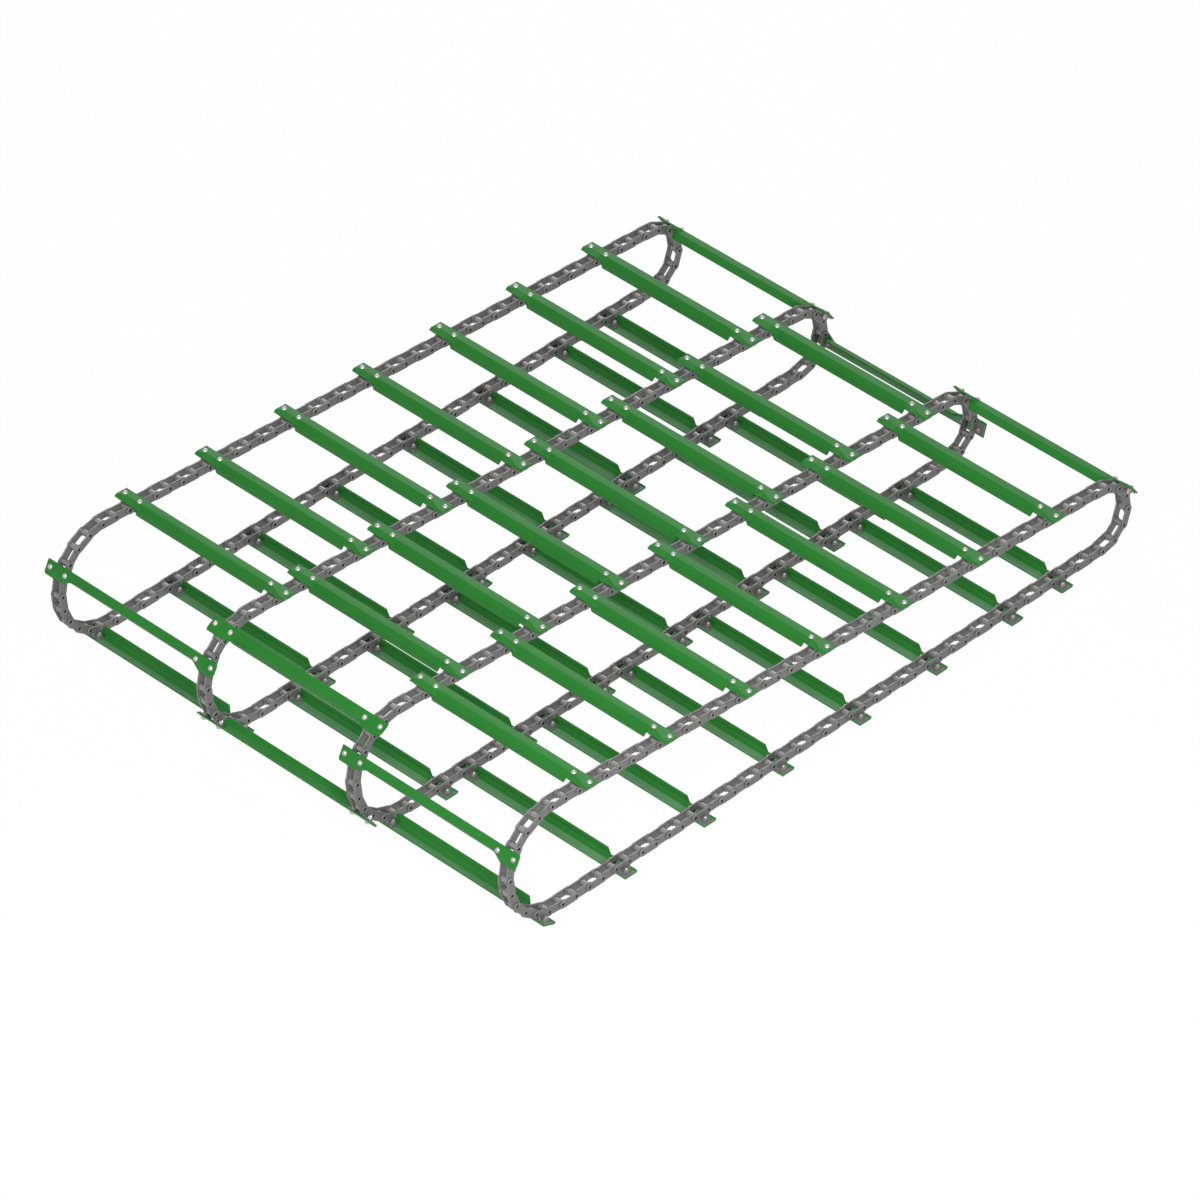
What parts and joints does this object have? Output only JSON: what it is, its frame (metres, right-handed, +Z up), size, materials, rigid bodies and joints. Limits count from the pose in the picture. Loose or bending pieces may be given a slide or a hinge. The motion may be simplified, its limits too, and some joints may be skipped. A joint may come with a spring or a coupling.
{
  "type": "feeder house conveyor chain",
  "caption": "Endless feeder chain: parallel roller chain strands joined by staggered bent steel slats, looped round a large tail end and a small head end.",
  "frame": {"origin": "middle of the loop's box on the surface that the lower run's bolt heads rest on", "axes": "+X from the large tail end to the small head end, +Y across the strands, +Z up"},
  "size_m": [2.009, 1.5536, 0.3355],
  "materials": {
    "plate_steel": "satin",
    "roller_steel": "polished",
    "pin_steel": "blackened",
    "slat_paint": "satin green paint",
    "bolt_zinc": "zinc plated"
  },
  "bodies": {
    "base": {"base_inner_plates": "plate_steel", "base_bushes": "roller_steel", "base_rollers": "roller_steel", "base_outer_plates": "plate_steel", "base_attachment_plates": "plate_steel", "base_pins": "pin_steel", "base_side_slats": "slat_paint", "base_middle_slats": "slat_paint", "base_bolts": "bolt_zinc", "base_nuts": "bolt_zinc"},
    "section_1": {"section_1_inner_plates": "plate_steel", "section_1_bushes": "roller_steel", "section_1_rollers": "roller_steel", "section_1_outer_plates": "plate_steel", "section_1_attachment_plates": "plate_steel", "section_1_pins": "pin_steel", "section_1_slats": "slat_paint", "section_1_bolt_sets": "bolt_zinc"},
    "section_2": {"section_2_inner_plates": "plate_steel", "section_2_bushes": "roller_steel", "section_2_rollers": "roller_steel", "section_2_outer_plates": "plate_steel", "section_2_attachment_plates": "plate_steel", "section_2_pins": "pin_steel", "section_2_slats": "slat_paint", "section_2_bolt_sets": "bolt_zinc"},
    "section_3": {"section_3_inner_plates": "plate_steel", "section_3_bushes": "roller_steel", "section_3_rollers": "roller_steel", "section_3_outer_plates": "plate_steel", "section_3_attachment_plates": "plate_steel", "section_3_pins": "pin_steel", "section_3_slats": "slat_paint", "section_3_bolt_sets": "bolt_zinc"},
    "section_4": {"section_4_inner_plates": "plate_steel", "section_4_bushes": "roller_steel", "section_4_rollers": "roller_steel", "section_4_outer_plates": "plate_steel", "section_4_attachment_plates": "plate_steel", "section_4_pins": "pin_steel", "section_4_slats": "slat_paint", "section_4_bolt_sets": "bolt_zinc"},
    "head": {"head_inner_plates": "plate_steel", "head_bushes": "roller_steel", "head_rollers": "roller_steel", "head_outer_plates": "plate_steel", "head_attachment_plates": "plate_steel", "head_pins": "pin_steel", "head_joint_pins": "pin_steel", "head_slats": "slat_paint", "head_bolts": "bolt_zinc", "head_nuts": "bolt_zinc"},
    "head_roller_row_1": {"head_roller_row_1": "roller_steel"},
    "head_roller_row_2": {"head_roller_row_2": "roller_steel"},
    "head_roller_row_3": {"head_roller_row_3": "roller_steel"},
    "head_roller_row_4": {"head_roller_row_4": "roller_steel"},
    "head_roller_row_5": {"head_roller_row_5": "roller_steel"},
    "head_roller_row_6": {"head_roller_row_6": "roller_steel"}
  },
  "joints": [
    {"name": "section_1_fold", "type": "hinge", "parent": "base", "child": "section_1", "pos_m": [-0.81605, 0, 0.31473], "axis": [0, -1, 0], "range_deg": [0, 30]},
    {"name": "section_2_fold", "type": "hinge", "parent": "section_1", "child": "section_2", "pos_m": [-0.403, 0, 0.2867], "axis": [0, -1, 0], "range_deg": [0, 30]},
    {"name": "section_3_fold", "type": "hinge", "parent": "section_2", "child": "section_3", "pos_m": [0.01005, 0, 0.25866], "axis": [0, -1, 0], "range_deg": [0, 30]},
    {"name": "section_4_fold", "type": "hinge", "parent": "section_3", "child": "section_4", "pos_m": [0.4231, 0, 0.23063], "axis": [0, -1, 0], "range_deg": [0, 30]},
    {"name": "head_fold", "type": "hinge", "parent": "section_4", "child": "head", "pos_m": [0.91865, 0, 0.19567], "axis": [0, -1, 0], "range_deg": [0, 30]},
    {"name": "roller_row_1_spin", "type": "hinge", "parent": "head", "child": "head_roller_row_1", "pos_m": [0.9553, 0, 0.17643], "axis": [0, 1, 0], "continuous": true},
    {"name": "roller_row_2_spin", "type": "hinge", "parent": "head", "child": "head_roller_row_2", "pos_m": [0.97884, 0, 0.14237], "axis": [0, 1, 0], "continuous": true},
    {"name": "roller_row_3_spin", "type": "hinge", "parent": "head", "child": "head_roller_row_3", "pos_m": [0.98387, 0, 0.10128], "axis": [0, 1, 0], "continuous": true},
    {"name": "roller_row_4_spin", "type": "hinge", "parent": "head", "child": "head_roller_row_4", "pos_m": [0.96925, 0, 0.06254], "axis": [0, 1, 0], "continuous": true},
    {"name": "roller_row_5_spin", "type": "hinge", "parent": "head", "child": "head_roller_row_5", "pos_m": [0.93832, 0, 0.03502], "axis": [0, 1, 0], "continuous": true},
    {"name": "roller_row_6_spin", "type": "hinge", "parent": "head", "child": "head_roller_row_6", "pos_m": [0.89816, 0, 0.025], "axis": [0, 1, 0], "continuous": true}
  ]
}
